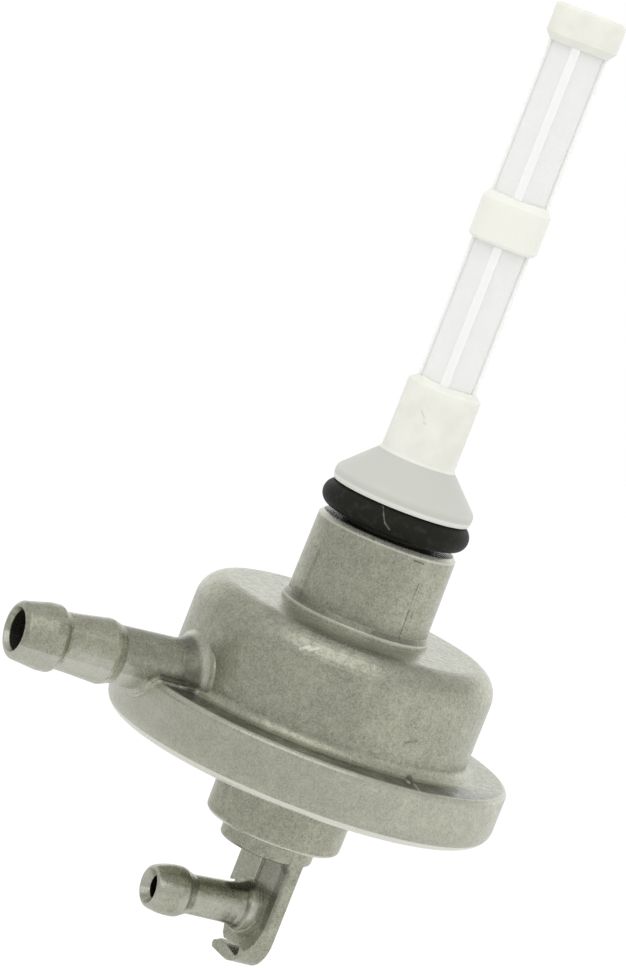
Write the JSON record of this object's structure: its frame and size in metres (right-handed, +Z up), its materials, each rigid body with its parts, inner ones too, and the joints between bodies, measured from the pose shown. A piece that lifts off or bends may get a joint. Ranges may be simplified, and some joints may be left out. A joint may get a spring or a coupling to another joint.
{
  "type": "fuel tap",
  "caption": "Vacuum-operated fuel tap with a push-in tank spigot, tall strainer, barbed fuel outlet, diaphragm valve and vacuum nipple.",
  "frame": {"origin": "on the axis, where the tank spigot meets the top of the diaphragm housing", "axes": "+Z up along the spigot and the strainer, into the tank; -X the way both hose connections point"},
  "size_m": [0.0716, 0.0532, 0.1307],
  "materials": {
    "cast_metal": "satin casting",
    "nylon": "translucent satin",
    "mesh": "fine woven",
    "rubber": "satin",
    "sheet_rubber": "matte fabric-backed",
    "spacer_plastic": "matte",
    "brass": "turned",
    "steel": "plated"
  },
  "bodies": {
    "tap": {"body": "cast_metal", "tank_o_ring": "rubber", "strainer_frame": "nylon", "strainer_mesh_lower": "mesh", "strainer_mesh_upper": "mesh", "fuel_diaphragm": "sheet_rubber", "diaphragm_spacer": "spacer_plastic", "vacuum_diaphragm": "sheet_rubber", "bottom_cover": "cast_metal", "return_spring": "steel"},
    "valve": {"valve_stem": "brass", "valve_seal": "rubber", "upper_washer": "steel", "spacer_bush": "steel", "spring_cup": "steel", "stem_clip": "steel"}
  },
  "joints": [
    {"name": "valve_lift", "type": "slide", "parent": "tap", "child": "valve", "axis": [0, 0, -1], "range_m": [0, 0.0012], "stiffness_N_per_m": 1000, "springref_m": -0.004, "deforming": ["return_spring", "fuel_diaphragm", "vacuum_diaphragm"]}
  ]
}
